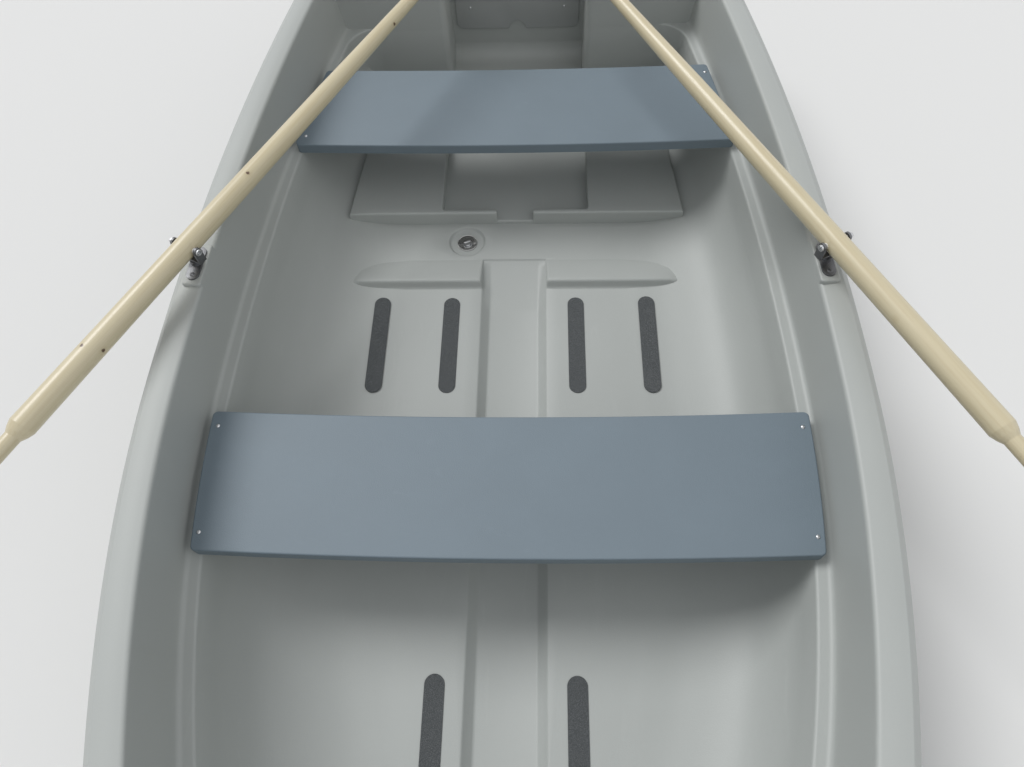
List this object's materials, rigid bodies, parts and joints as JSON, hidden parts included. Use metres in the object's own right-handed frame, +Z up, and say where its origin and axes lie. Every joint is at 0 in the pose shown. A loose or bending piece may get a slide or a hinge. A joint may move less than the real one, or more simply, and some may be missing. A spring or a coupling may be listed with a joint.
{
  "type": "rowing boat",
  "caption": "Open rowing boat with a moulded double-skinned hull, board thwarts, transom plates and a pair of pinned wooden oars stowed over the stern.",
  "frame": {"origin": "on the waterline, on the centre plane, 0.3 m forward of the greatest beam", "axes": "+Y aft along the centre line, +X to port, +Z up"},
  "size_m": [2.0428, 3.88, 0.68],
  "materials": {
    "hull": "light warm grey moulded plastic, satin",
    "rail": "grey soft plastic rubbing strake",
    "thwart": "slate blue-grey board, finely textured",
    "grip": "dark grey gritty anti-slip strip",
    "moulded_grey": "grey moulded plastic",
    "plate": "grey plastic sheet, satin",
    "stainless": "polished stainless steel, worn",
    "pine": "clear varnished pale pine",
    "bush": "off-white nylon"
  },
  "bodies": {
    "boat": {"hull_shell": "hull", "liner": "hull", "rub_rail_port": "rail", "rub_rail_starboard": "rail", "rub_rail_stern": "rail", "thwart_mid": "thwart", "thwart_aft": "thwart", "thwart_fore": "thwart", "grip_pads_mid_bay": "grip", "grip_pads_fore_bay": "grip", "drain_fitting": "moulded_grey", "drain_plug": "stainless", "transom_plate_inner": "plate", "transom_plate_outer": "plate", "bow_eye": "stainless", "stern_eye_port": "stainless", "stern_eye_starboard": "stainless", "oarlock_base_port": "stainless", "oarlock_base_starboard": "stainless"},
    "fork_port": {"oarlock_fork_port": "stainless", "oarlock_bolt_port": "stainless"},
    "oar_port": {"oar_loom_port": "pine", "oar_blade_port": "pine", "oar_bush_port": "bush"},
    "fork_starboard": {"oarlock_fork_starboard": "stainless", "oarlock_bolt_starboard": "stainless"},
    "oar_starboard": {"oar_loom_starboard": "pine", "oar_blade_starboard": "pine", "oar_bush_starboard": "bush"}
  },
  "joints": [
    {"name": "swivel_port", "type": "hinge", "parent": "boat", "child": "fork_port", "pos_m": [0.712, 0.608, 0.54], "axis": [0, 0, -1], "range_deg": [0, 160]},
    {"name": "tilt_port", "type": "hinge", "parent": "fork_port", "child": "oar_port", "pos_m": [0.712, 0.608, 0.54], "axis": [0.891, 0.454, 0], "range_deg": [0, 15]},
    {"name": "swivel_starboard", "type": "hinge", "parent": "boat", "child": "fork_starboard", "pos_m": [-0.712, 0.608, 0.54], "axis": [0, 0, 1], "range_deg": [0, 160]},
    {"name": "tilt_starboard", "type": "hinge", "parent": "fork_starboard", "child": "oar_starboard", "pos_m": [-0.712, 0.608, 0.54], "axis": [0.891, -0.454, 0], "range_deg": [0, 15]}
  ]
}
